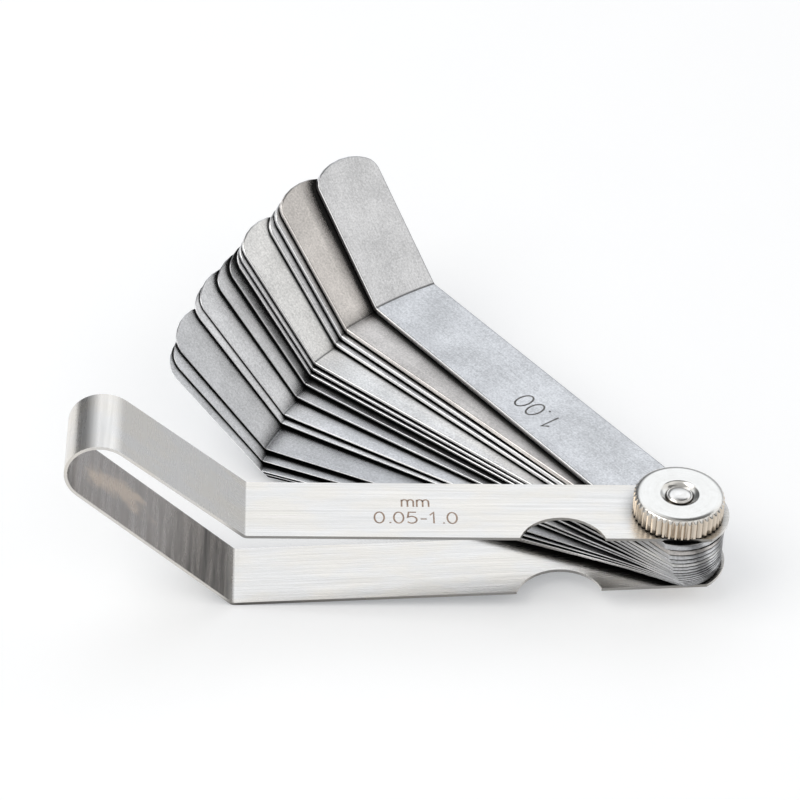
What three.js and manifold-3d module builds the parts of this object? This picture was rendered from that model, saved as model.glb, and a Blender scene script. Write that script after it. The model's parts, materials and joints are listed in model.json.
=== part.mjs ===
// Feeler gauge with bent blades: sixteen steel blades on one screw, held in a folded spring-steel holder.
// Millimetres, +Z up. The screw axis is Z, the holder points towards -X, and z = 0 is the underside of
// the screw head. "Reach" below means distance from the screw axis, and slopes are taken along the reach.
import * as THREE from "three";
import { mergeVertices } from "three/addons/utils/BufferGeometryUtils.js";
import Module from "manifold-3d";

const wasm = await Module();
wasm.setup();

// ---------------------------------------------------------------- driving dimensions
// Blades, from the top one down: thickness, the angle each is swung out of the holder, and how much
// shorter it is than the longest.
const BLADES = [
  { thickness: 1.0, opening: 54.1, trim: 0 },
  { thickness: 0.9, opening: 48.7, trim: 0 },
  { thickness: 0.8, opening: 47.9, trim: 0 },
  { thickness: 0.7, opening: 47.0, trim: 0 },
  { thickness: 0.6, opening: 42.7, trim: 0 },
  { thickness: 0.55, opening: 42.2, trim: 0 },
  { thickness: 0.5, opening: 41.7, trim: 0 },
  { thickness: 0.45, opening: 40.4, trim: 0 },
  { thickness: 0.4, opening: 38.2, trim: 0 },
  { thickness: 0.35, opening: 34.8, trim: 0 },
  { thickness: 0.3, opening: 33.7, trim: 0 },
  { thickness: 0.25, opening: 28.5, trim: 1.1 },
  { thickness: 0.2, opening: 26.7, trim: 2.1 },
  { thickness: 0.15, opening: 25.4, trim: 2.2 },
  { thickness: 0.1, opening: 25.6, trim: 2.3 },
  { thickness: 0.05, opening: 25.8, trim: 2.4 },
];
const BLADE_LENGTH = 99; // of the longest, along the metal from butt to tip
const BLADE_WIDTH = 11.9;
const BLADE_BUTT_RADIUS = 7.2; // rounded end behind the screw, about the screw axis
const BLADE_TIP_RADIUS = 9.2;
const BLADE_CORNER_RADIUS = 1.2;
const BLADE_BEND_ANGLE = 42; // tip above the horizontal
const BLADE_BEND_RADIUS = 0.6; // inside of the bend
const TOP_BLADE_BEND = 67.3; // reach of the top blade's bend
const BLADE_GAP = 0.05; // between two blades at the screw
const TIP_GAP = 0.04; // between two blades' tips when the gauge is closed
const CLAMPED_RADIUS = 8; // the blades lie flat out to here
const LOWEST_SAG = 4.3; // how far the lowest blade hangs down at its bend
const SAG_POWER = 1.8; // the thin lower blades hang lower than the thick upper ones

const HOLDER_WIDTH = 12.4;
const HOLDER_THICKNESS = 0.5;
const HOLDER_END_RADIUS = 7.7;
const HOLDER_BEND_RADIUS = 0.8;
const UPPER_ARM_BEND = 64.4;
const UPPER_ARM_ANGLE = 41;
const LOWER_ARM_BEND = 66.4;
const LOWER_ARM_ANGLE = 43.1;
const LOWER_ARM_SLOPE = 3.5; // the lower arm springs away from the upper one
const HOLDER_LOOP_REACH = 90.6; // outermost point of the folded end
const THUMB_NOTCH = { reach: 17.5, radius: 6.65, depth: 4.7 };

const SCREW_RADIUS = 2.0;
const SCREW_HEAD = { radius: 4.0, height: 1.4, chamfer: 0.3 };
const HOLE_RADIUS = 2.08;
const SEAT_GAP = 0.03; // running gap under the nut and over the screw head

const NUT_RADIUS = 6.8;
const NUT_HEIGHT = 3.65;
const NUT_TEETH = 44;
const NUT_TOOTH_DEPTH = 0.36;
const NUT_CHAMFER = 0.6;
const NUT_RECESS = { radius: 2.9, depth: 0.7 };

const ROUND_SEGMENTS = 36;

// ---------------------------------------------------------------- solids
function toSolid(geometry) {
  const bare = geometry.clone();
  bare.deleteAttribute("normal");
  bare.deleteAttribute("uv");
  const merged = mergeVertices(bare, 1e-4);
  return new wasm.Manifold(
    new wasm.Mesh({
      numProp: 3,
      vertProperties: new Float32Array(merged.attributes.position.array),
      triVerts: new Uint32Array(merged.index.array),
    }),
  );
}

function toGeometry(solid) {
  const mesh = solid.getMesh();
  const positions = new Float32Array(mesh.numVert * 3);
  for (let i = 0; i < mesh.numVert; i++) {
    positions.set(mesh.vertProperties.subarray(i * mesh.numProp, i * mesh.numProp + 3), i * 3);
  }
  const geometry = new THREE.BufferGeometry();
  geometry.setAttribute("position", new THREE.BufferAttribute(positions, 3));
  geometry.setIndex(new THREE.BufferAttribute(new Uint32Array(mesh.triVerts), 1));
  geometry.computeVertexNormals();
  return geometry;
}

// A round bar along Z, for drilling holes and cutting notches.
function barSolid(radius, x, y, low, high) {
  const bar = new THREE.CylinderGeometry(radius, radius, high - low, ROUND_SEGMENTS);
  bar.rotateX(Math.PI / 2);
  bar.translate(x, y, (low + high) / 2);
  return toSolid(bar);
}

// A flat outline in plan, raised from low to high.
function prismSolid(points, low, high) {
  const prism = new THREE.ExtrudeGeometry(new THREE.Shape(points), {
    depth: high - low,
    bevelEnabled: false,
  });
  prism.translate(0, 0, low);
  return toSolid(prism);
}

function part(name, geometry, color, roughness) {
  const material = new THREE.MeshStandardMaterial({ color, roughness, metalness: 1.0 });
  const mesh = new THREE.Mesh(geometry, material);
  mesh.name = name;
  return mesh;
}

// ---------------------------------------------------------------- bent strip profiles
// A profile is drawn in the plane of reach (x) and height (y).
function heading(degrees) {
  const angle = THREE.MathUtils.degToRad(degrees);
  return new THREE.Vector2(Math.cos(angle), Math.sin(angle));
}

function leftNormal(direction) {
  return new THREE.Vector2(-direction.y, direction.x);
}

function along(origin, direction, distance) {
  return origin.clone().addScaledVector(direction, distance);
}

function crossing(originA, directionA, originB, directionB) {
  const step = originB.clone().sub(originA);
  const distance = step.cross(directionB) / directionA.cross(directionB);
  return along(originA, directionA, distance);
}

// Stations along an arc about a centre, each with a point and the normal on the strip's left side.
function arcStations(centre, radius, fromDegrees, toDegrees, segments) {
  const turn = Math.sign(toDegrees - fromDegrees);
  const stations = [];
  for (let i = 0; i <= segments; i++) {
    const direction = heading(fromDegrees + ((toDegrees - fromDegrees) * i) / segments);
    const normal = leftNormal(direction);
    stations.push({ point: along(centre, normal, -turn * radius), normal });
  }
  return stations;
}

// Stations round a corner, from one heading to another, at a given radius.
function cornerStations(corner, fromDegrees, toDegrees, radius, segments) {
  const turn = Math.sign(toDegrees - fromDegrees);
  const half = THREE.MathUtils.degToRad(Math.abs(toDegrees - fromDegrees) / 2);
  const start = along(corner, heading(fromDegrees), -radius * Math.tan(half));
  const centre = along(start, leftNormal(heading(fromDegrees)), turn * radius);
  return arcStations(centre, radius, fromDegrees, toDegrees, segments);
}

// ---------------------------------------------------------------- blades
const bendCos = Math.cos(THREE.MathUtils.degToRad(BLADE_BEND_ANGLE));
const bendSin = Math.sin(THREE.MathUtils.degToRad(BLADE_BEND_ANGLE));
const tipDistance = BLADE_LENGTH - BLADE_BUTT_RADIUS;

const packHeight = BLADES.reduce((sum, blade) => sum + blade.thickness + BLADE_GAP, 0);
const lowerArmSlope = Math.tan(THREE.MathUtils.degToRad(LOWER_ARM_SLOPE));
const headTop = SCREW_HEAD.height;
const lowerArmUnderside = headTop + SEAT_GAP + lowerArmSlope * SCREW_HEAD.radius;
const lowerArmTop = lowerArmUnderside + HOLDER_THICKNESS / Math.cos(Math.atan(lowerArmSlope));
const packBottom = lowerArmTop + lowerArmSlope * HOLDER_END_RADIUS + BLADE_GAP;
const packTop = packBottom + packHeight;
const upperArmTop = packTop + HOLDER_THICKNESS;

// Where each blade lies in the pack: the height of its upper face at the screw, and its bend.
function stackBlades() {
  let top = packTop - BLADE_GAP;
  let above = null;
  return BLADES.map((blade, index) => {
    const sag = LOWEST_SAG * (index / (BLADES.length - 1)) ** SAG_POWER;
    const bendHeight = top - sag;
    let bendReach = TOP_BLADE_BEND;
    if (above) {
      const drop = above.bendHeight - bendHeight;
      bendReach = above.bendReach + (above.thickness + TIP_GAP - drop * bendCos) / bendSin;
    }
    const slope = THREE.MathUtils.radToDeg(Math.atan(sag / (bendReach - CLAMPED_RADIUS)));
    above = { ...blade, top, bendHeight, bendReach, slope };
    top -= blade.thickness + BLADE_GAP;
    return above;
  });
}

// How far the tip's outline falls back from its furthest point, at a distance y from the middle.
function tipSetback(y) {
  const cornerStart = BLADE_WIDTH / 2 - BLADE_CORNER_RADIUS;
  const inCorner = THREE.MathUtils.clamp(Math.abs(y) - cornerStart, 0, BLADE_CORNER_RADIUS);
  const cornerDrop = BLADE_CORNER_RADIUS - Math.sqrt(BLADE_CORNER_RADIUS ** 2 - inCorner ** 2);
  return BLADE_TIP_RADIUS - Math.sqrt(BLADE_TIP_RADIUS ** 2 - y ** 2) + cornerDrop;
}

// Upper and lower points of one lengthwise line of a blade, from the butt to the tip. Reach is kept
// while the blade turns, so each point is set back to stay at its reach from the screw axis.
function bladeLine(blade, y) {
  const slopeCos = Math.cos(THREE.MathUtils.degToRad(blade.slope));
  const straightLength = (blade.bendReach - CLAMPED_RADIUS) / slopeCos;
  const tipLength = tipDistance - blade.trim - CLAMPED_RADIUS - straightLength - tipSetback(y);
  const flatNormal = leftNormal(heading(0));
  const slopeNormal = leftNormal(heading(-blade.slope));
  const slopeStart = new THREE.Vector2(CLAMPED_RADIUS, blade.top);
  const bend = new THREE.Vector2(blade.bendReach, blade.bendHeight);
  const stations = [{ point: slopeStart, normal: flatNormal }];
  if (blade.slope > 0) {
    for (const reach of [11, 16, 28]) {
      const point = along(slopeStart, heading(-blade.slope), (reach - CLAMPED_RADIUS) / slopeCos);
      stations.push({ point, normal: slopeNormal });
    }
  }
  stations.push(...cornerStations(bend, -blade.slope, BLADE_BEND_ANGLE, BLADE_BEND_RADIUS, 4));
  stations.push({
    point: along(bend, heading(BLADE_BEND_ANGLE), tipLength),
    normal: leftNormal(heading(BLADE_BEND_ANGLE)),
  });

  const buttX = Math.sqrt(BLADE_BUTT_RADIUS ** 2 - y ** 2);
  const line = [
    {
      upper: new THREE.Vector3(buttX, y, blade.top),
      lower: new THREE.Vector3(buttX, y, blade.top - blade.thickness),
    },
  ];
  for (const { point, normal } of stations) {
    const under = along(point, normal, -blade.thickness);
    line.push({
      upper: new THREE.Vector3(-Math.sqrt(point.x ** 2 - y ** 2), y, point.y),
      lower: new THREE.Vector3(-Math.sqrt(under.x ** 2 - y ** 2), y, under.y),
    });
  }
  return line;
}

// A closed skin over lengthwise lines that lie side by side.
function skinGeometry(lines) {
  const count = lines[0].length;
  const positions = [];
  for (const line of lines) {
    for (const { upper, lower } of line) {
      positions.push(...upper.toArray(), ...lower.toArray());
    }
  }
  const at = (line, station, side) => 2 * (line * count + station) + side;
  const indices = [];
  const quad = (a, b, c, d) => indices.push(a, b, c, a, c, d);
  const last = lines.length - 1;
  const end = count - 1;
  for (let i = 0; i < last; i++) {
    for (let j = 0; j < end; j++) {
      quad(at(i, j, 0), at(i + 1, j, 0), at(i + 1, j + 1, 0), at(i, j + 1, 0));
      quad(at(i, j, 1), at(i, j + 1, 1), at(i + 1, j + 1, 1), at(i + 1, j, 1));
    }
    quad(at(i, 0, 0), at(i, 0, 1), at(i + 1, 0, 1), at(i + 1, 0, 0));
    quad(at(i, end, 0), at(i + 1, end, 0), at(i + 1, end, 1), at(i, end, 1));
  }
  for (let j = 0; j < end; j++) {
    quad(at(0, j, 0), at(0, j + 1, 0), at(0, j + 1, 1), at(0, j, 1));
    quad(at(last, j, 0), at(last, j, 1), at(last, j + 1, 1), at(last, j + 1, 0));
  }
  const geometry = new THREE.BufferGeometry();
  geometry.setAttribute("position", new THREE.Float32BufferAttribute(positions, 3));
  geometry.setIndex(indices);
  return geometry;
}

function bladeGeometry(blade) {
  const halfFractions = [0, 0.3, 0.55, 0.75, 0.88, 0.96, 1];
  const fractions = [...halfFractions.slice(1).reverse().map((f) => -f), ...halfFractions];
  const lines = fractions.map((fraction) => bladeLine(blade, (fraction * BLADE_WIDTH) / 2));
  const hole = barSolid(HOLE_RADIUS, 0, 0, blade.top - blade.thickness - 1, blade.top + 1);
  return toGeometry(toSolid(skinGeometry(lines)).subtract(hole));
}

// ---------------------------------------------------------------- holder
// The strap's middle line, from the lower arm's rounded end, round the fold, to the upper arm's.
function holderStations() {
  const half = HOLDER_THICKNESS / 2;
  const lowerHeading = -LOWER_ARM_SLOPE;
  const foldLower = LOWER_ARM_ANGLE;
  const foldUpper = 180 + UPPER_ARM_ANGLE;
  const bendRadius = HOLDER_BEND_RADIUS + half;

  const lowerStart = new THREE.Vector2(-HOLDER_END_RADIUS - 2, 0);
  lowerStart.y = lowerArmTop - half - lowerArmSlope * lowerStart.x;
  const lowerBend = along(lowerStart, heading(lowerHeading), LOWER_ARM_BEND - lowerStart.x);
  const upperBend = new THREE.Vector2(UPPER_ARM_BEND, packTop + half);
  const upperEnd = new THREE.Vector2(-HOLDER_END_RADIUS - 2, packTop + half);

  // The two tips of the holder close up towards the fold, which is an arc that touches both.
  const apex = crossing(lowerBend, heading(foldLower), upperBend, heading(foldUpper));
  const middle = (foldLower + UPPER_ARM_ANGLE) / 2;
  const halfAngle = THREE.MathUtils.degToRad((foldLower - UPPER_ARM_ANGLE) / 2);
  const apexReach = apex.x - (HOLDER_LOOP_REACH - half);
  const fromApex = apexReach / (heading(middle).x - Math.sin(halfAngle));
  const foldRadius = fromApex * Math.sin(halfAngle);
  const foldCentre = along(apex, heading(middle), -fromApex);

  return [
    { point: lowerStart, normal: leftNormal(heading(lowerHeading)) },
    ...cornerStations(lowerBend, lowerHeading, foldLower, bendRadius, 5),
    ...arcStations(foldCentre, foldRadius, foldLower, foldUpper, 20),
    ...cornerStations(upperBend, foldUpper, 180, bendRadius, 5),
    { point: upperEnd, normal: leftNormal(heading(180)) },
  ];
}

function holderGeometry() {
  const stations = holderStations();
  const half = HOLDER_THICKNESS / 2;
  const inner = stations.map(({ point, normal }) => along(point, normal, half));
  const outer = stations.map(({ point, normal }) => along(point, normal, -half));
  const outline = [...outer, ...inner.reverse()];
  const band = new THREE.ExtrudeGeometry(new THREE.Shape(outline), {
    depth: HOLDER_WIDTH,
    bevelEnabled: false,
  });
  // The profile's reach runs towards -X and its height is Z.
  band.rotateX(Math.PI / 2);
  band.rotateZ(Math.PI);
  band.translate(0, -HOLDER_WIDTH / 2, 0);

  // In plan the arms end in an arc about the screw axis, a little wider than the strap itself.
  const side = HOLDER_WIDTH / 2;
  const endAngle = Math.asin((side + 0.2) / HOLDER_END_RADIUS);
  const plan = [
    new THREE.Vector2(-HOLDER_LOOP_REACH - 5, side + 0.2),
    new THREE.Vector2(-HOLDER_LOOP_REACH - 5, -side - 0.2),
  ];
  for (let i = 0; i <= 16; i++) {
    const angle = endAngle * (i / 8 - 1);
    const direction = new THREE.Vector2(Math.cos(angle), Math.sin(angle));
    plan.push(direction.multiplyScalar(HOLDER_END_RADIUS));
  }

  const low = -10;
  const high = 40;
  const notchY = -side - (THUMB_NOTCH.radius - THUMB_NOTCH.depth);
  return toGeometry(
    toSolid(band)
      .intersect(prismSolid(plan, low, high))
      .subtract(barSolid(HOLE_RADIUS, 0, 0, low, high))
      .subtract(barSolid(THUMB_NOTCH.radius, -THUMB_NOTCH.reach, notchY, low, high)),
  );
}

// ---------------------------------------------------------------- screw and nut
const nutBottom = upperArmTop + SEAT_GAP;
const nutTop = nutBottom + NUT_HEIGHT;

function latheGeometry(profile, segments) {
  const lathe = new THREE.LatheGeometry(
    profile.map(([radius, height]) => new THREE.Vector2(radius, height)),
    segments,
  );
  lathe.rotateX(Math.PI / 2);
  return lathe;
}

function screwGeometry() {
  const { radius, height, chamfer } = SCREW_HEAD;
  const end = nutTop - 0.1;
  return latheGeometry(
    [
      [0, 0],
      [radius - chamfer, 0],
      [radius, chamfer],
      [radius, height - 0.15],
      [radius - 0.15, height],
      [SCREW_RADIUS, height],
      [SCREW_RADIUS, end - 0.5],
      [SCREW_RADIUS - 0.25, end - 0.2],
      [SCREW_RADIUS - 0.7, end - 0.04],
      [0, end],
    ],
    ROUND_SEGMENTS,
  );
}

function nutGeometry() {
  const bore = HOLE_RADIUS;
  const body = latheGeometry(
    [
      [bore, 0],
      [NUT_RADIUS - NUT_CHAMFER * 0.6, 0],
      [NUT_RADIUS, NUT_CHAMFER * 0.6],
      [NUT_RADIUS, NUT_HEIGHT - NUT_CHAMFER],
      [NUT_RADIUS - NUT_CHAMFER, NUT_HEIGHT],
      [NUT_RECESS.radius, NUT_HEIGHT],
      [NUT_RECESS.radius - 0.2, NUT_HEIGHT - NUT_RECESS.depth],
      [bore, NUT_HEIGHT - NUT_RECESS.depth],
      [bore, 0],
    ],
    2 * NUT_TEETH,
  );
  const teeth = [];
  for (let i = 0; i < 2 * NUT_TEETH; i++) {
    const angle = (Math.PI * i) / NUT_TEETH;
    const radius = i % 2 ? NUT_RADIUS - NUT_TOOTH_DEPTH : NUT_RADIUS;
    teeth.push(new THREE.Vector2(Math.cos(angle), Math.sin(angle)).multiplyScalar(radius));
  }
  const nut = toSolid(body).intersect(prismSolid(teeth, -1, NUT_HEIGHT + 1));
  return toGeometry(nut).translate(0, 0, nutBottom);
}

// ---------------------------------------------------------------- assembly
const group = new THREE.Group();
group.name = "feeler_gauge";
group.add(part("holder_strap", holderGeometry(), 0xd9d6d2, 0.32));
group.add(part("pivot_screw", toGeometry(toSolid(screwGeometry())), 0xdedbd6, 0.3));
group.add(part("knurled_nut", nutGeometry(), 0xe6e2da, 0.25));
for (const blade of stackBlades()) {
  const hundredths = String(Math.round(blade.thickness * 100)).padStart(3, "0");
  const mesh = part(`blade_${hundredths}`, bladeGeometry(blade), 0xc3c6ca, 0.36);
  mesh.rotation.z = -THREE.MathUtils.degToRad(blade.opening);
  group.add(mesh);
}

export default group;
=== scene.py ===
# Feeler gauge with bent blades, fanned out of its folded spring-steel holder, on a plain pale floor.
# Sizes in the constants are millimetres unless they say otherwise; the scene itself is in metres.
import json
import math

import bmesh
import bpy
from mathutils import Matrix, Vector
from mathutils.bvhtree import BVHTree


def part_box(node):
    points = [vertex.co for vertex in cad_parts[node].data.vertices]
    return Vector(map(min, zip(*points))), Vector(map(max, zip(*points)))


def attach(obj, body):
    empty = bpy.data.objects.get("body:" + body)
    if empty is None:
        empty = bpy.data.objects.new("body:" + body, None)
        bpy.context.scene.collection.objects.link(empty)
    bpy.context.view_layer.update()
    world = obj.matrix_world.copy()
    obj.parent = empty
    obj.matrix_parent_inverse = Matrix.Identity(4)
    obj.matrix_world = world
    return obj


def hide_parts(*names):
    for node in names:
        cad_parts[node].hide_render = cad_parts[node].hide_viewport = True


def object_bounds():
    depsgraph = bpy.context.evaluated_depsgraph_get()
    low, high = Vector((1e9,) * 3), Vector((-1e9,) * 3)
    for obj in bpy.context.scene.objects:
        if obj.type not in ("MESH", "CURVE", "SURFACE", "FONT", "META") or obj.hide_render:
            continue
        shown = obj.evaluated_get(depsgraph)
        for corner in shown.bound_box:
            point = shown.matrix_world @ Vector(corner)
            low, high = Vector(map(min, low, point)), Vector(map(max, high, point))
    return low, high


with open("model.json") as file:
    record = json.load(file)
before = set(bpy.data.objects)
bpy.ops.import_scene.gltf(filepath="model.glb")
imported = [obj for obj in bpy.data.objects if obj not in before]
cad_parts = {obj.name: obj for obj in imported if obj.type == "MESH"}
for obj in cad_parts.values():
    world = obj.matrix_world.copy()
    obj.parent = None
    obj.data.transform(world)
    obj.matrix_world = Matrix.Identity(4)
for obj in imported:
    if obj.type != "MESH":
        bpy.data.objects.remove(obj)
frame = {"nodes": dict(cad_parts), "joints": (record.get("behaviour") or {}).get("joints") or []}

cad_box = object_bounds()
nodes = frame["nodes"]
MM = 0.001

# ---------------------------------------------------------------- camera
CAMERA_AZIMUTH = -2.545
CAMERA_ELEVATION = 38.15
CAMERA_ROLL = 2.075
CAMERA_AIM = (-40.51, 34.43, 5.0)
CAMERA_DISTANCE = 534.65
CAMERA_LENS = 152.46
CAMERA_SENSOR = 36.0

# ---------------------------------------------------------------- blades and holder
TIP_REACH = 15.0  # how much further from the screw a blade's tip stands than its bend
BUTT_REACH = (8.0, 14.0)  # over these distances from the screw the painted shade on a blade's edges fades out
SHADE_REACH = {"blade": 3.0, "holder": 4.0, "plated": 1.2}  # how far off a neighbour darkens a crevice
BLADE_ARRIS = 0.3  # rounding of a blade's edges, as a share of its thickness
HOLDER_ARRIS = 0.07
ARRIS_ANGLE = 35  # degrees: edges sharper than this are rounded
WELD_DISTANCE = 0.002
RELIEF_HEIGHT = 0.02  # of the bump in every steel
PATTERN_STEP = 7.3  # between one blade's place in the noise patterns and the next one's
HOLDER_BEND = (-65.0, -67.5)  # x where the arms end and where the inclined ends are
BEND_SHADE_SPAN = (-78.0, -71.0)  # x over which the painted shade inside the fold deepens towards the bend
STRAW_PATCH = {"centre": (-83.8, 0.8, 13.6), "size": (6.0, 2.6, 6.0)}

# ---------------------------------------------------------------- nut and screw
NUT_TEETH = 44
NUT_TOOTH_STEPS = (0.0, 0.05, 0.35, 0.8, 1.0, 0.8, 0.35, 0.05)  # groove depth round one tooth, crest first
NUT_GROOVE = 0.36
NUT_BEVEL_DROP = 0.7  # how far below the top the knurl's crests start
NUT_ROOT_DROP = 0.34  # how far below the top the knurl's grooves start
NUT_INSIDE_RIM = 0.03  # the least that a ring of the shoulder lies inside the rim
NUT_INSIDE_ROOTS = 0.04  # the least that the flat foot lies inside the grooves
# the rounded shoulder inside the knurl: how far in from the rim, and how far below the top
NUT_SHOULDER = ((0.25, 0.32), (0.35, 0.21), (0.5, 0.12), (0.72, 0.045), (0.95, 0.0), (1.1, 0.0))
NUT_FOOT_BEVEL = (0.3, 0.25)  # inward, upward
NUT_RECESS_RADIUS = 2.85
NUT_RECESS_DEPTH = 0.55
# the recess is a bowl: how far in from its radius, and how far below the top
NUT_BOWL = (
    (-0.25, 0.0), (-0.1, 0.0), (-0.02, 0.03), (0.1, 0.13), (0.3, 0.28), (0.52, 0.4), (0.7, 0.47),
)
NUT_BORE = 2.05
AXIS_RADIUS = 0.001  # the screw's two ends close on rings this small
SCREW_SEGMENTS = 64
SCREW_RADIUS = 2.0
SCREW_HEAD_HEIGHT = 1.4
# the screw's head, from the middle of its underside: how far in from its radius, and its height
SCREW_HEAD = ((1.1, 0.0), (0.35, 0.06), (0.08, 0.28), (0.0, 0.55), (0.0, 1.2), (0.12, 1.37), (0.3, 1.4))
# the screw's other end, a chamfer, a raised lip, a ring groove and a wide low dome: radius, drop
SCREW_END = (
    (1.97, 0.34), (1.92, 0.22), (1.84, 0.16), (1.77, 0.17), (1.71, 0.23), (1.66, 0.17),
    (1.56, 0.1), (1.3, 0.05), (0.8, 0.01), (0.3, 0.0), (AXIS_RADIUS, 0.0),
)
THREAD_PITCH = 0.7
THREAD_DEPTH = 0.2
THREAD_STEPS = 8  # rings to each turn of the thread
THREAD_LENGTH = 3.6
THREAD_RUNOUT = 0.45  # plain length left between the thread and the screw's end

# ---------------------------------------------------------------- markings
BLADE_MARK = {"height": 3.4, "stroke": 0.3, "start": 27.0}
TOP_BLADE_BASELINE = 0.2
LOWER_BLADE_BASELINE = 1.5
HOLDER_MARK = {"height": 2.5, "stroke": 0.27, "centre": -38.95, "lower": -3.03, "upper": 0.72}
MARK_LIFT = 0.003
MARK_DEPTH = 0.008
PROBE_HEIGHT = 100.0  # the markings are set down on the metal from this high up


# ---------------------------------------------------------------- shader helpers
def new_material(name):
    material = bpy.data.materials.new(name)
    material.use_nodes = True
    tree = material.node_tree
    return material, tree, tree.nodes["Principled BSDF"]


def put(tree, socket, value):
    """Links a socket to a node's input, or sets the input's own value."""
    if isinstance(value, bpy.types.NodeSocket):
        tree.links.new(value, socket)
    else:
        socket.default_value = value


def add(tree, kind, inputs=None, **settings):
    node = tree.nodes.new(kind)
    for key, value in settings.items():
        setattr(node, key, value)
    for key, value in (inputs or {}).items():
        put(tree, node.inputs[key], value)
    return node


def math_node(tree, operation, a, b=0.0):
    return add(tree, "ShaderNodeMath", {0: a, 1: b}, operation=operation).outputs[0]


def remap(tree, value, low, high, to_low=0.0, to_high=1.0, smooth=False):
    kind = "SMOOTHSTEP" if smooth else "LINEAR"
    inputs = {"Value": value, "From Min": low, "From Max": high, "To Min": to_low, "To Max": to_high}
    return add(tree, "ShaderNodeMapRange", inputs, interpolation_type=kind).outputs[0]


def mix(tree, factor, a, b, blend="MIX"):
    node = tree.nodes.new("ShaderNodeMix")
    node.data_type = "RGBA"
    node.blend_type = blend
    put(tree, node.inputs[0], factor)
    put(tree, node.inputs[6], a if isinstance(a, bpy.types.NodeSocket) else (*a, 1.0))
    put(tree, node.inputs[7], b if isinstance(b, bpy.types.NodeSocket) else (*b, 1.0))
    return node.outputs[2]


def noise(tree, vector, scale, detail=2.0, roughness=0.5):
    inputs = {"Vector": vector, "Scale": scale, "Detail": detail, "Roughness": roughness}
    return add(tree, "ShaderNodeTexNoise", inputs).outputs[0]


def stretched(tree, vector, scale, offset=(0.0, 0.0, 0.0)):
    inputs = {"Vector": vector, "Scale": scale, "Location": offset}
    return add(tree, "ShaderNodeMapping", inputs).outputs[0]


def millimetres(tree, turn_degrees=0.0):
    """Object coordinates in millimetres, turned about Z."""
    source = add(tree, "ShaderNodeTexCoord").outputs["Object"]
    turn = (0.0, 0.0, math.radians(turn_degrees))
    inputs = {"Vector": source, "Scale": (1 / MM, 1 / MM, 1 / MM), "Rotation": turn}
    return add(tree, "ShaderNodeMapping", inputs).outputs[0]


def scaled_sum(tree, *terms):
    """Adds up values, each with its own factor, from (value, factor) pairs."""
    total = 0.0
    for value, factor in terms:
        node = add(tree, "ShaderNodeMath", {0: value, 1: factor, 2: total}, operation="MULTIPLY_ADD")
        total = node.outputs[0]
    return total


def length_in_plan(tree, vector):
    axes = add(tree, "ShaderNodeSeparateXYZ", {0: vector}).outputs
    plan = add(tree, "ShaderNodeCombineXYZ", {0: axes[0], 1: axes[1], 2: 0.0}).outputs[0]
    return add(tree, "ShaderNodeVectorMath", {0: plan}, operation="LENGTH").outputs["Value"]


def openness(tree, reach, shut, clear):
    """0 where the surroundings within a reach in millimetres close a place in, 1 where it is open."""
    shade = add(tree, "ShaderNodeAmbientOcclusion", {"Distance": reach * MM}, samples=12).outputs["AO"]
    return remap(tree, shade, shut, clear)


def facing_axes(tree, turn_degrees=0.0):
    """The way the surface faces, in the object's own axes turned about Z."""
    source = add(tree, "ShaderNodeTexCoord").outputs["Normal"]
    inputs = {"Vector": source, "Rotation": (0.0, 0.0, math.radians(turn_degrees))}
    turned = add(tree, "ShaderNodeMapping", inputs, vector_type="NORMAL").outputs[0]
    return add(tree, "ShaderNodeSeparateXYZ", {0: turned}).outputs


def scaled(tree, colour, *factors):
    """Multiplies a colour by each of the factors."""
    for factor in factors:
        node = add(tree, "ShaderNodeVectorMath", {0: colour}, operation="SCALE")
        put(tree, node.inputs["Scale"], factor)
        colour = node.outputs[0]
    return colour


def bump(tree, height, strength, distance):
    inputs = {"Height": height, "Strength": strength, "Distance": distance}
    return add(tree, "ShaderNodeBump", inputs).outputs[0]


def painted_arris_light(tree, sideways):
    """Painted shade as a thin dark line where a flat face starts to turn over, then a painted highlight on
    the rounded edge.
    """
    starting = remap(tree, sideways, 0.08, 0.2)
    not_past = remap(tree, sideways, 0.5, 0.35)
    turning = math_node(tree, "MULTIPLY", starting, not_past)
    edge = remap(tree, sideways, 0.35, 0.55, 1.0, 1.5)
    return math_node(tree, "MULTIPLY", edge, remap(tree, turning, 0.0, 1.0, 1.0, 0.4))


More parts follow.
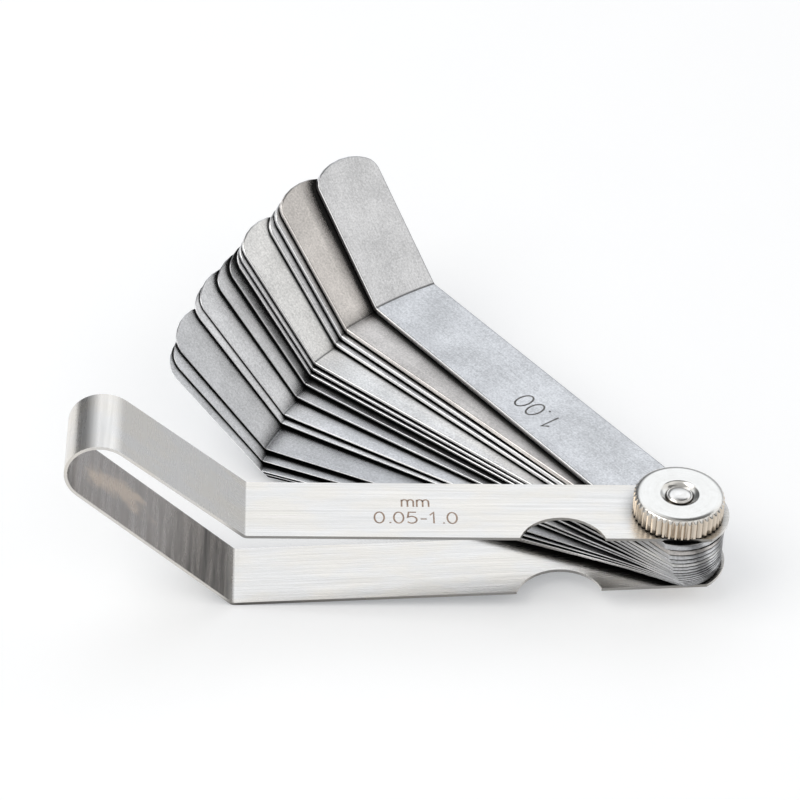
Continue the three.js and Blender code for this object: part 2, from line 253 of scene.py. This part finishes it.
# ---------------------------------------------------------------- materials
def blade_material(name, opening, seed, light, dark, bend_reach, shade_range):
    """Satin spring steel: fine speckle, soft blotches, faint lengthwise grinding, painted shade along the
    bend and between the blades, and painted highlights on the edges.

    shade_range holds, for the strip and for the tip, how open a place is where the shade of the
    neighbouring blades is deepest and where it ends.
    """
    material, tree, shader = new_material(name)
    at = stretched(tree, millimetres(tree, opening), (1.0, 1.0, 1.0), (0.0, 0.0, PATTERN_STEP * seed))
    speckle = noise(tree, at, 3.2, 3.0, 0.75)
    blotches = noise(tree, at, 0.16, 2.0)
    grinding = noise(tree, stretched(tree, at, (0.06, 5.0, 0.4)), 1.0, 3.0, 0.6)
    tone = scaled_sum(tree, (speckle, 0.6), (blotches, 0.22), (grinding, 0.18))
    steel = mix(tree, remap(tree, tone, 0.38, 0.62), dark, light)
    from_screw = length_in_plan(tree, millimetres(tree))
    from_crease = math_node(tree, "SUBTRACT", from_screw, bend_reach)
    # painted shade: a thin dark line along the inside of the bend
    crease_shade = remap(tree, math_node(tree, "ABSOLUTE", from_crease), 0.05, 0.2, 0.4, 1.0)
    sideways = math_node(tree, "ABSOLUTE", facing_axes(tree, opening)[1])
    # painted shade: a blade's edges are darker near the screw, where the blades lie stacked
    butt_shade = remap(tree, from_screw, *BUTT_REACH, 0.5, 1.0)
    shaded_near_screw = remap(tree, sideways, 0.2, 0.5, 1.0, butt_shade)
    # painted highlight on the rounded edges, with a painted dark line beside it
    arris = math_node(tree, "MULTIPLY", painted_arris_light(tree, sideways), shaded_near_screw)
    # painted shade: the faces close to one another are nearly black; a blade's own edge stays bright
    towards_tip = remap(tree, from_crease, -1.0, TIP_REACH)
    on_strip, on_tip = shade_range
    shut, clear = (remap(tree, towards_tip, 0.0, 1.0, *ends) for ends in zip(on_strip, on_tip))
    clear = remap(tree, sideways, 0.2, 0.5, clear, 0.5)
    shut = remap(tree, sideways, 0.2, 0.5, shut, 0.2)
    gap_shade = remap(tree, openness(tree, SHADE_REACH["blade"], shut, clear), 0.0, 1.0, 0.02, 1.0)
    put(tree, shader.inputs["Base Color"], scaled(tree, steel, crease_shade, gap_shade, arris))
    shader.inputs["Metallic"].default_value = 1.0
    put(tree, shader.inputs["Roughness"], remap(tree, tone, 0.38, 0.62, 0.4, 0.3))
    relief = math_node(tree, "ADD", speckle, grinding)
    put(tree, shader.inputs["Normal"], bump(tree, relief, 0.16, RELIEF_HEIGHT * MM))
    return material


def holder_material():
    """Bright brushed spring steel, heat-tinted on the lower arm inside the fold, with painted shade there
    that deepens towards the bend.
    """
    material, tree, shader = new_material("holder_brushed_steel")
    at = millimetres(tree)
    axes = add(tree, "ShaderNodeSeparateXYZ", {0: at}).outputs
    lengthwise = noise(tree, stretched(tree, at, (0.05, 4.5, 0.05)), 1.0, 4.0, 0.65)
    crosswise = noise(tree, stretched(tree, at, (1.1, 0.05, 0.6)), 1.0, 4.0, 0.65)
    speckle = noise(tree, at, 2.2, 3.0, 0.7)
    # the inclined ends start where the arms bend; between them the metal's inner side is tinted and
    # carries painted shade, below a line that runs up the middle of the fold
    inclined = remap(tree, axes[0], *HOLDER_BEND)
    middle_line = scaled_sum(tree, (axes[0], -0.9), (1.0, -54.5))
    below_middle = math_node(tree, "LESS_THAN", axes[2], middle_line)
    facing = facing_axes(tree)
    towards_screw = remap(tree, facing[0], 0.1, 0.3)
    inner_side = math_node(tree, "MULTIPLY", below_middle, towards_screw)
    inside = math_node(tree, "MULTIPLY", inclined, inner_side)
    side_face = remap(tree, math_node(tree, "ABSOLUTE", facing[1]), 0.5, 0.9)

    grain = mix(tree, inclined, remap(tree, lengthwise, 0.3, 0.7), remap(tree, crosswise, 0.3, 0.7))
    bright = mix(tree, grain, (0.74, 0.72, 0.69), (0.81, 0.785, 0.75))
    tint = noise(tree, stretched(tree, at, (0.2, 0.34, 0.2)), 1.0, 3.0, 0.55)
    # painted shade: the inside of the fold is darker, most of all towards the bend
    near_bend = remap(tree, axes[0], *BEND_SHADE_SPAN)
    fold_shade = mix(tree, grain, (0.40, 0.375, 0.36), (0.54, 0.51, 0.49))
    fold_shade = mix(tree, near_bend, fold_shade, mix(tree, grain, (0.13, 0.125, 0.12), (0.4, 0.375, 0.355)))
    inputs = {"Vector": at, "Location": STRAW_PATCH["centre"], "Scale": STRAW_PATCH["size"]}
    patch_at = add(tree, "ShaderNodeMapping", inputs, vector_type="TEXTURE").outputs[0]
    from_patch = add(tree, "ShaderNodeVectorMath", {0: patch_at}, operation="LENGTH").outputs["Value"]
    straw = remap(tree, scaled_sum(tree, (tint, 0.9), (from_patch, -0.3)), 0.08, 0.38, smooth=True)
    straw = math_node(tree, "MULTIPLY", straw, 0.9)
    tinted = mix(tree, straw, fold_shade, (0.72, 0.62, 0.53))
    edge_shade = remap(tree, side_face, 0.0, 1.0, 1.0, remap(tree, inclined, 0.0, 1.0, 0.35, 0.85))
    gap_shade = remap(tree, openness(tree, SHADE_REACH["holder"], 0.4, 0.85), 0.0, 1.0, 0.16, 1.0)
    stains = noise(tree, stretched(tree, at, (0.09, 0.2, 0.09)), 1.0, 3.0, 0.6)
    stain = mix(tree, remap(tree, stains, 0.38, 0.62, smooth=True), (0.945, 0.965, 1.0), (1.0, 0.965, 0.9))
    steel = mix(tree, inside, mix(tree, 0.4, bright, stain, "MULTIPLY"), tinted)
    put(tree, shader.inputs["Base Color"], scaled(tree, steel, edge_shade, gap_shade))
    shader.inputs["Metallic"].default_value = 1.0
    put(tree, shader.inputs["Roughness"], remap(tree, grain, 0.0, 1.0, 0.34, 0.22))
    relief = math_node(tree, "ADD", speckle, math_node(tree, "MULTIPLY", grain, 2.0))
    put(tree, shader.inputs["Normal"], bump(tree, relief, 0.1, RELIEF_HEIGHT * MM))
    return material


def plated_material(name, light, dark, flank_reflection, turned):
    """Bright nickel plating, darker and yellower where it faces sideways as a painted reflection of the
    warm metal below; turned faces show faint rings about the axis.
    """
    material, tree, shader = new_material(name)
    at = millimetres(tree)
    height = add(tree, "ShaderNodeSeparateXYZ", {0: at}).outputs[2]
    from_axis = length_in_plan(tree, at)
    rings_at = add(tree, "ShaderNodeCombineXYZ", {0: from_axis, 1: 0.0, 2: height}).outputs[0]
    rings = noise(tree, rings_at, 6.0, 3.0, 0.7)
    mottle = noise(tree, at, 0.9, 3.0, 0.6)
    tone = scaled_sum(tree, (rings, turned), (mottle, 1.0 - turned))
    upward = facing_axes(tree)[2]
    plating = mix(tree, remap(tree, tone, 0.35, 0.65), dark, light)
    # painted reflection: the faces that turn sideways are darker and warmer
    flanks = remap(tree, upward, 0.45, 0.15)
    hollow_shade = remap(tree, openness(tree, SHADE_REACH["plated"], 0.35, 0.85), 0.0, 1.0, 0.2, 1.0)
    coloured = mix(tree, flanks, plating, mix(tree, 0.8, plating, flank_reflection, "MULTIPLY"))
    put(tree, shader.inputs["Base Color"], scaled(tree, coloured, hollow_shade))
    shader.inputs["Metallic"].default_value = 1.0
    put(tree, shader.inputs["Roughness"], remap(tree, tone, 0.35, 0.65, 0.2, 0.1))
    put(tree, shader.inputs["Normal"], bump(tree, tone, 0.08, RELIEF_HEIGHT * MM))
    return material


def etched_material(name, light, dark):
    """Etched numerals: dull oxide, uneven along the strokes."""
    material, tree, shader = new_material(name)
    patches = noise(tree, millimetres(tree), 1.8, 3.0, 0.6)
    put(tree, shader.inputs["Base Color"], mix(tree, remap(tree, patches, 0.35, 0.65), dark, light))
    shader.inputs["Metallic"].default_value = 0.4
    put(tree, shader.inputs["Roughness"], remap(tree, patches, 0.3, 0.7, 0.7, 0.5))
    return material


def floor_material():
    material, tree, shader = new_material("floor_paper")
    fibres = noise(tree, millimetres(tree), 0.05, 3.0)
    put(tree, shader.inputs["Base Color"], mix(tree, fibres, (0.73, 0.73, 0.73), (0.745, 0.745, 0.745)))
    # painted light: the paper glows faintly bluish all over, which lightens the shadows on it
    shader.inputs["Emission Color"].default_value = (0.93, 0.96, 1.0, 1.0)
    shader.inputs["Emission Strength"].default_value = 0.29
    shader.inputs["Roughness"].default_value = 0.9
    shader.inputs["Specular IOR Level"].default_value = 0.1
    return material


# ---------------------------------------------------------------- mesh helpers
def new_piece(name, vertices, faces, material, body, smooth_angle=None):
    """A mesh from millimetre points, riding on a body of the frame."""
    mesh = bpy.data.meshes.new(name)
    mesh.from_pydata([Vector(v) * MM for v in vertices], [], faces)
    build = bmesh.new()
    build.from_mesh(mesh)
    bmesh.ops.recalc_face_normals(build, faces=build.faces)
    if smooth_angle is not None:
        for face in build.faces:
            face.smooth = True
        for edge in build.edges:
            edge.smooth = edge.calc_face_angle(math.pi) < math.radians(smooth_angle)
    build.to_mesh(mesh)
    build.free()
    mesh.materials.append(material)
    piece = bpy.data.objects.new(name, mesh)
    bpy.context.scene.collection.objects.link(piece)
    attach(piece, body)
    return piece


def ring_faces(ring_count, around, closed_profile):
    """Quads between rings of points; the last ring joins the first when the profile is closed."""
    faces = []
    spans = ring_count if closed_profile else ring_count - 1
    for i in range(spans):
        j = (i + 1) % ring_count
        for k in range(around):
            n = (k + 1) % around
            faces.append((i * around + k, i * around + n, j * around + n, j * around + k))
    return faces


# ---------------------------------------------------------------- markings: a plain stroke alphabet
GLYPH_HEIGHT = 1.6
DIGIT_ADVANCE = 1.26  # from the start of one character to the next
ADVANCES = {".": 0.58, "-": 0.72, "m": 1.45}


def arc(x, y, across, up, start, end, steps=14):
    points = []
    for i in range(steps + 1):
        angle = math.radians(start + (end - start) * i / steps)
        points.append((x + across * math.cos(angle), y + up * math.sin(angle)))
    return points


GLYPHS = {
    "0": [arc(0.5, 0.8, 0.46, 0.8, 90, 450, 28)],
    "1": [[(0.22, 1.18), (0.6, 1.6), (0.6, 0.0)]],
    "2": [arc(0.5, 1.14, 0.44, 0.46, 165, -35) + [(0.06, 0.0), (0.98, 0.0)]],
    "3": [arc(0.46, 1.2, 0.42, 0.4, 150, -90), arc(0.46, 0.4, 0.48, 0.4, 90, -150)],
    "4": [[(0.72, 0.0), (0.72, 1.6), (0.02, 0.45), (1.0, 0.45)]],
    "5": [[(0.9, 1.6), (0.2, 1.6), (0.1, 0.86)] + arc(0.48, 0.5, 0.48, 0.5, 128, -145)],
    "6": [arc(0.5, 0.49, 0.45, 0.49, 160, 520, 24), arc(0.78, 0.55, 0.74, 1.05, 175, 98)],
    "7": [[(0.04, 1.6), (0.96, 1.6), (0.36, 0.0)]],
    "8": [arc(0.5, 1.2, 0.38, 0.4, 90, 450, 22), arc(0.5, 0.4, 0.46, 0.4, 90, 450, 22)],
    "9": [arc(0.5, 1.11, 0.45, 0.49, -20, 340, 24), arc(0.22, 1.05, 0.74, 1.05, -5, -82)],
    ".": [[(0.19, 0.06), (0.37, 0.06)]],
    "-": [[(0.06, 0.62), (0.64, 0.62)]],
    "m": [
        [(0.02, 0.0), (0.02, 1.05)],
        arc(0.3, 0.72, 0.28, 0.33, 180, 0, 8) + [(0.58, 0.0)],
        arc(0.86, 0.72, 0.28, 0.33, 180, 0, 8) + [(1.14, 0.0)],
    ],
}


def ribbon(points, width):
    """Left and right edges of a stroke, mitred at its corners."""
    closed = math.dist(points[0], points[-1]) < 1e-6
    count = len(points)
    sides = []
    for i, (x, y) in enumerate(points):
        before = points[i - 1] if i > 0 else (points[-2] if closed else None)
        after = points[i + 1] if i < count - 1 else (points[1] if closed else None)
        into = Vector((x - before[0], y - before[1])).normalized() if before else None
        out = Vector((after[0] - x, after[1] - y)).normalized() if after else None
        into, out = into or out, out or into
        run = (into + out).normalized()
        reach = width / 2 / max(0.5, run.dot(into))
        normal = Vector((-run.y, run.x)) * reach
        sides.append(((x + normal.x, y + normal.y), (x - normal.x, y - normal.y)))
    return sides


def mark_strokes(text, height, stroke):
    """Every stroke of a line of text, starting at (0, 0), as pairs of edge points."""
    scale = height / GLYPH_HEIGHT
    strokes = []
    cursor = 0.0
    for letter in text:
        for points in GLYPHS[letter]:
            placed = [((cursor + x) * scale, y * scale) for x, y in points]
            strokes.append(ribbon(placed, stroke))
        cursor += ADVANCES.get(letter, DIGIT_ADVANCE)
    return strokes, cursor * scale


def mark_piece(name, strokes, node, body, material, place):
    """Thin raised strokes that follow the top of a node. place(x, y) gives a point in plan."""
    tree = BVHTree.FromObject(nodes[node], bpy.context.evaluated_depsgraph_get())
    down = Vector((0, 0, -1))
    vertices, faces = [], []

    def on_surface(x, y):
        plan = place(x, y)
        hit = tree.ray_cast(Vector((*plan, PROBE_HEIGHT)) * MM, down)[0]
        return hit.z / MM

    for sides in strokes:
        first = len(vertices)
        for pair in sides:
            for x, y in pair:
                top = on_surface(x, y) + MARK_LIFT
                vertices.append((*place(x, y), top))
                vertices.append((*place(x, y), top - MARK_DEPTH))
        last = len(sides) - 1
        for i in range(last):
            a, b = first + 4 * i, first + 4 * (i + 1)
            faces += [(a, a + 2, b + 2, b), (a + 1, b + 1, b + 3, a + 3)]
            faces += [(a, b, b + 1, a + 1), (a + 2, a + 3, b + 3, b + 2)]
        end = first + 4 * last
        faces += [(first, first + 1, first + 3, first + 2), (end, end + 2, end + 3, end + 1)]
    new_piece(name, vertices, faces, material, body)


# ---------------------------------------------------------------- nut and screw
def make_nut(material):
    low, high = (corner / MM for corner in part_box("knurled_nut"))
    foot, top = low.z, high.z
    radius = high.x
    foot_inward, foot_rise = NUT_FOOT_BEVEL
    steps = len(NUT_TOOTH_STEPS)
    around = NUT_TEETH * steps

    def groove(k):
        return NUT_GROOVE * NUT_TOOTH_STEPS[k % steps]

    def level(radius_of, height_of):
        points = []
        for k in range(around):
            angle = 2 * math.pi * k / around
            r = radius_of(k)
            points.append((r * math.cos(angle), r * math.sin(angle), height_of(k)))
        return points

    def plain(r, z):
        return level(lambda k: r, lambda k: z)

    def rim(k):
        return radius - groove(k)

    def below_top(k):
        return top - NUT_BEVEL_DROP + (NUT_BEVEL_DROP - NUT_ROOT_DROP) * groove(k) / NUT_GROOVE

    def above_foot(k):
        return foot + foot_rise * max(0.0, 1 - groove(k) / foot_inward)

    def shoulder(inward, drop):
        return level(lambda k: min(radius - inward, rim(k) - NUT_INSIDE_RIM), lambda k: top - drop)

    rings = [
        plain(NUT_BORE, foot),
        plain(radius - max(foot_inward, NUT_GROOVE + NUT_INSIDE_ROOTS), foot),
        level(rim, above_foot),
        level(rim, below_top),
    ]
    rings += [shoulder(inward, drop) for inward, drop in NUT_SHOULDER]
    rings += [plain(NUT_RECESS_RADIUS - inward, top - drop) for inward, drop in NUT_BOWL]
    rings.append(plain(NUT_BORE, top - NUT_RECESS_DEPTH))
    vertices = [p for ring in rings for p in ring]
    faces = ring_faces(len(rings), around, closed_profile=True)
    nut = new_piece("nut_knurled", vertices, faces, material, "nut", smooth_angle=28)
    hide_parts("knurled_nut")


def make_screw(material):
    low, high = (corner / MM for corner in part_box("pivot_screw"))
    head_radius, end = high.x, high.z
    around = SCREW_SEGMENTS
    thread_start = end - THREAD_LENGTH

    def circle(r, z):
        angles = (2 * math.pi * k / around for k in range(around))
        return [(r * math.cos(a), r * math.sin(a), z) for a in angles]

    rings = [circle(AXIS_RADIUS, low.z)]
    rings += [circle(head_radius - inward, low.z + height) for inward, height in SCREW_HEAD]
    rings.append(circle(SCREW_RADIUS, low.z + SCREW_HEAD_HEIGHT))
    rings.append(circle(SCREW_RADIUS, thread_start))
    threaded = THREAD_LENGTH - THREAD_RUNOUT
    levels = round(threaded / THREAD_PITCH * THREAD_STEPS)
    for i in range(1, levels + 1):
        z = thread_start + threaded * i / levels
        fade = min(1.0, 3 * i / levels)  # the thread deepens over its first third
        ring = []
        for k in range(around):
            phase = (z / THREAD_PITCH - k / around) % 1.0
            depth = THREAD_DEPTH * fade * (1 - abs(2 * phase - 1)) ** 0.8
            r = SCREW_RADIUS - depth
            angle = 2 * math.pi * k / around
            ring.append((r * math.cos(angle), r * math.sin(angle), z))
        rings.append(ring)
    rings += [circle(r, end - drop) for r, drop in SCREW_END]
    vertices = [p for ring in rings for p in ring]
    faces = ring_faces(len(rings), around, closed_profile=False)
    faces.append(tuple(range(around)))
    faces.append(tuple(range(len(vertices) - around, len(vertices))))
    screw = new_piece("screw_pivot", vertices, faces, material, "holder", smooth_angle=30)
    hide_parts("pivot_screw")


# ---------------------------------------------------------------- finishing the CAD pieces
def smooth_group():
    """Welds the imported triangles and shades them smooth."""
    group = bpy.data.node_groups.new("weld_and_smooth", "GeometryNodeTree")
    group.interface.new_socket("Geometry", in_out="INPUT", socket_type="NodeSocketGeometry")
    group.interface.new_socket("Geometry", in_out="OUTPUT", socket_type="NodeSocketGeometry")
    start = group.nodes.new("NodeGroupInput")
    end = group.nodes.new("NodeGroupOutput")
    weld = group.nodes.new("GeometryNodeMergeByDistance")
    weld.inputs["Distance"].default_value = WELD_DISTANCE * MM
    shade = group.nodes.new("GeometryNodeSetShadeSmooth")
    group.links.new(start.outputs[0], weld.inputs["Geometry"])
    group.links.new(weld.outputs[0], shade.inputs["Geometry"])
    group.links.new(shade.outputs[0], end.inputs[0])
    return group


def finish_node(node, group, edge):
    """Smooth faces with a small bright arris along every sharp edge."""
    smooth = node.modifiers.new("weld_and_smooth", "NODES")
    smooth.node_group = group
    bevel = node.modifiers.new("arris", "BEVEL")
    bevel.width = edge * MM
    bevel.segments = 3
    bevel.limit_method = "ANGLE"
    bevel.angle_limit = math.radians(ARRIS_ANGLE)
    bevel.miter_outer = "MITER_ARC"
    normals = node.modifiers.new("face_normals", "WEIGHTED_NORMAL")
    normals.keep_sharp = False
    normals.weight = 100


def bend_reach(node):
    """How far from the screw's axis a blade bends: its lowest stretch ends there."""
    points = [vertex.co / MM for vertex in node.data.vertices]
    lowest = min(point.z for point in points)
    return max(math.hypot(p.x, p.y) for p in points if p.z < lowest + 0.05)


def set_material(node, material):
    node.material_slots[0].link = "OBJECT"
    node.material_slots[0].material = material


# ---------------------------------------------------------------- the gauge
weld_and_smooth = smooth_group()
set_material(nodes["holder_strap"], holder_material())
finish_node(nodes["holder_strap"], weld_and_smooth, HOLDER_ARRIS)

STEEL_LIGHT = (0.77, 0.775, 0.79)
STEEL_DARK = (0.49, 0.495, 0.505)
# painted light and shade: how much brighter or darker each blade's steel is than the others, in red, green
# and blue
BLADE_PAINTED_LIGHT = {
    "blade_090": (0.95, 0.90, 0.85),
    "blade_060": (1.12, 1.11, 1.08),
    "blade_045": (0.78, 0.78, 0.78),
    "blade_040": (0.9, 0.9, 0.9),
    "blade_025": (0.85, 0.85, 0.85),
}
# how open a place is where its shade is deepest and where it ends, for a blade's strip and its tip:
# most blades lie tightly under their upper neighbours, the others stand off, and their tips more
TIGHT_SHADE = (0.6, 0.86)
LOOSE_SHADE = (0.8, 0.975)
DEEP_SHADE = (0.86, 0.99)
WIDE_SHADE = (0.945, 1.0)
SHADES = {
    "blade_090": (LOOSE_SHADE, WIDE_SHADE),
    "blade_045": (DEEP_SHADE, WIDE_SHADE),
    "blade_040": (DEEP_SHADE, WIDE_SHADE),
    "blade_035": (LOOSE_SHADE, WIDE_SHADE),
    "blade_025": (DEEP_SHADE, WIDE_SHADE),
    "blade_020": (DEEP_SHADE, WIDE_SHADE),
    "blade_015": (DEEP_SHADE, WIDE_SHADE),
    "blade_010": (DEEP_SHADE, WIDE_SHADE),
    "blade_005": (DEEP_SHADE, WIDE_SHADE),
}


def blade_place(opening, baseline):
    """Gives the point in plan for a point of a marking on a blade that is swung out by its opening."""
    swing = math.radians(opening)
    outward = Vector((-math.cos(swing), math.sin(swing)))
    across = Vector((math.sin(swing), math.cos(swing)))

    def place(x, y):
        point = outward * (BLADE_MARK["start"] + x) + across * (baseline - y)
        return point.x, point.y

    return place


blades = sorted((n for n in nodes if n.startswith("blade_")), reverse=True)
openings = {joint["child"]: -joint["range_deg"][0] for joint in frame["joints"]}
etched_dark = etched_material("etched_dark", (0.16, 0.155, 0.15), (0.07, 0.068, 0.066))
etched_brown = etched_material("etched_brown", (0.45, 0.33, 0.25), (0.27, 0.205, 0.17))
for index, name in enumerate(blades):
    opening = openings[name]
    painted_light = BLADE_PAINTED_LIGHT.get(name, (1.0, 1.0, 1.0))
    light, dark = (tuple(c * k for c, k in zip(tone, painted_light)) for tone in (STEEL_LIGHT, STEEL_DARK))
    reach = bend_reach(nodes[name])
    shade = SHADES.get(name, (TIGHT_SHADE, TIGHT_SHADE))
    steel = blade_material(f"{name}_steel", opening, index, light, dark, reach, shade)
    set_material(nodes[name], steel)
    thickness = int(name[-3:]) / 100
    finish_node(nodes[name], weld_and_smooth, BLADE_ARRIS * thickness)
    baseline = TOP_BLADE_BASELINE if name == blades[0] else LOWER_BLADE_BASELINE
    place = blade_place(opening, baseline)
    strokes, _ = mark_strokes(f"{thickness:.2f}", BLADE_MARK["height"], BLADE_MARK["stroke"])
    mark_piece(f"mark_{name[-3:]}", strokes, name, name, etched_dark, place)


def mark_holder(name, text, baseline):
    """A line of text on the upper arm, centred."""
    strokes, width = mark_strokes(text, HOLDER_MARK["height"], HOLDER_MARK["stroke"])
    start = HOLDER_MARK["centre"] - width / 2

    def place(x, y):
        return start + x, baseline + y

    mark_piece(name, strokes, "holder_strap", "holder", etched_brown, place)


mark_holder("mark_range", "0.05-1.0", HOLDER_MARK["lower"])
mark_holder("mark_unit", "mm", HOLDER_MARK["upper"])

nut_nickel = plated_material(
    "nut_nickel",
    light=(0.72, 0.71, 0.685),
    dark=(0.68, 0.665, 0.635),
    flank_reflection=(0.93, 0.80, 0.66),
    turned=0.6,
)
screw_nickel = plated_material(
    "screw_nickel",
    light=(0.76, 0.745, 0.725),
    dark=(0.68, 0.66, 0.635),
    flank_reflection=(0.84, 0.72, 0.60),
    turned=0.3,
)
make_nut(nut_nickel)
make_screw(screw_nickel)

# ---------------------------------------------------------------- floor, light and camera
FLOOR_SIZE = 2.5  # metres from the middle to an edge
FLOOR_GAP = 0.02
floor_z = cad_box[0].z - FLOOR_GAP * MM
signs = ((-1, -1), (1, -1), (1, 1), (-1, 1))
corners = [(x * FLOOR_SIZE, y * FLOOR_SIZE, floor_z) for x, y in signs]
floor_mesh = bpy.data.meshes.new("floor")
floor_mesh.from_pydata(corners, [], [(0, 1, 2, 3)])
floor_mesh.materials.append(floor_material())
floor = bpy.data.objects.new("floor", floor_mesh)
bpy.context.scene.collection.objects.link(floor)


def make_world():
    """A white tent in a grey room, a bluish softbox behind and a dark panel overhead on the right."""
    world = bpy.data.worlds.new("tent")
    world.use_nodes = True
    tree = world.node_tree
    direction = add(tree, "ShaderNodeTexCoord").outputs["Generated"]
    x, y, z = add(tree, "ShaderNodeSeparateXYZ", {0: direction}).outputs
    # the room is brighter in front on the left and behind on the right, and the tent starts above it
    diagonal = math_node(tree, "MULTIPLY", x, y)
    room = scaled_sum(tree, (x, -0.16), (y, -0.03), (diagonal, 0.72), (1.0, 0.4))
    room = remap(tree, room, 0.08, 0.95, 0.08, 0.95)  # kept between these two
    tent = remap(tree, scaled_sum(tree, (z, 1.0), (x, 0.25)), 0.36, 0.66, smooth=True)
    level = add(tree, "ShaderNodeMix", {0: tent, 2: room, 3: 1.05}).outputs[0]
    # the softbox fills the tent's far side, and the ceiling is dimmer
    behind = remap(tree, y, 0.1, 0.75, smooth=True)
    softbox = remap(tree, math_node(tree, "MULTIPLY", behind, tent), 0.0, 1.0, 1.0, 1.38)
    ceiling = remap(tree, z, 0.87, 0.96, 1.0, 0.55)
    level = math_node(tree, "MULTIPLY", level, math_node(tree, "MULTIPLY", softbox, ceiling))
    # the dark panel hangs between the softbox and the ceiling's middle, on the right half only
    sideways = math_node(tree, "MULTIPLY", remap(tree, x, -0.06, 0.06), remap(tree, y, -0.1, 0.05))
    overhead = math_node(tree, "MULTIPLY", remap(tree, z, 0.74, 0.8), remap(tree, z, 0.99, 0.975))
    panel = math_node(tree, "MULTIPLY", sideways, overhead)
    level = math_node(tree, "MULTIPLY", level, remap(tree, panel, 0.0, 1.0, 1.0, 0.18))
    colour = mix(tree, behind, (1.0, 0.99, 0.975), (0.93, 0.96, 1.0))
    put(tree, tree.nodes["Background"].inputs["Color"], colour)
    put(tree, tree.nodes["Background"].inputs["Strength"], level)
    bpy.context.scene.world = world


def area_light(name, location, aim, size, power, colour):
    data = bpy.data.lights.new(name, "AREA")
    data.shape = "SQUARE"
    data.size = size
    data.energy = power
    data.color = colour
    light = bpy.data.objects.new(name, data)
    light.location = location
    light.rotation_euler = (Vector(aim) - Vector(location)).to_track_quat("-Z", "Y").to_euler()
    bpy.context.scene.collection.objects.link(light)


make_world()
area_light(
    "key",
    location=(-0.6, -0.15, 0.75),
    aim=(-0.04, 0.03, 0.0),
    size=0.7,
    power=3.0,
    colour=(1.0, 0.985, 0.96),
)

azimuth, elevation, roll = (math.radians(a) for a in (CAMERA_AZIMUTH, CAMERA_ELEVATION, CAMERA_ROLL))
back = Vector(
    (
        math.sin(azimuth) * math.cos(elevation),
        -math.cos(azimuth) * math.cos(elevation),
        math.sin(elevation),
    )
)
level_right = Vector((math.cos(azimuth), math.sin(azimuth), 0.0))
level_up = back.cross(level_right)
right = level_right * math.cos(roll) + level_up * math.sin(roll)
up = back.cross(right)
camera_data = bpy.data.cameras.new("camera")
camera_data.sensor_width = CAMERA_SENSOR
camera_data.lens = CAMERA_LENS
camera_data.clip_start = 0.01
camera_data.clip_end = 20.0
camera = bpy.data.objects.new("camera", camera_data)
camera.matrix_world = Matrix((right, up, back)).transposed().to_4x4()
camera.location = (Vector(CAMERA_AIM) + back * CAMERA_DISTANCE) * MM
bpy.context.scene.collection.objects.link(camera)
bpy.context.scene.camera = camera
bpy.context.scene.view_settings.view_transform = "Standard"
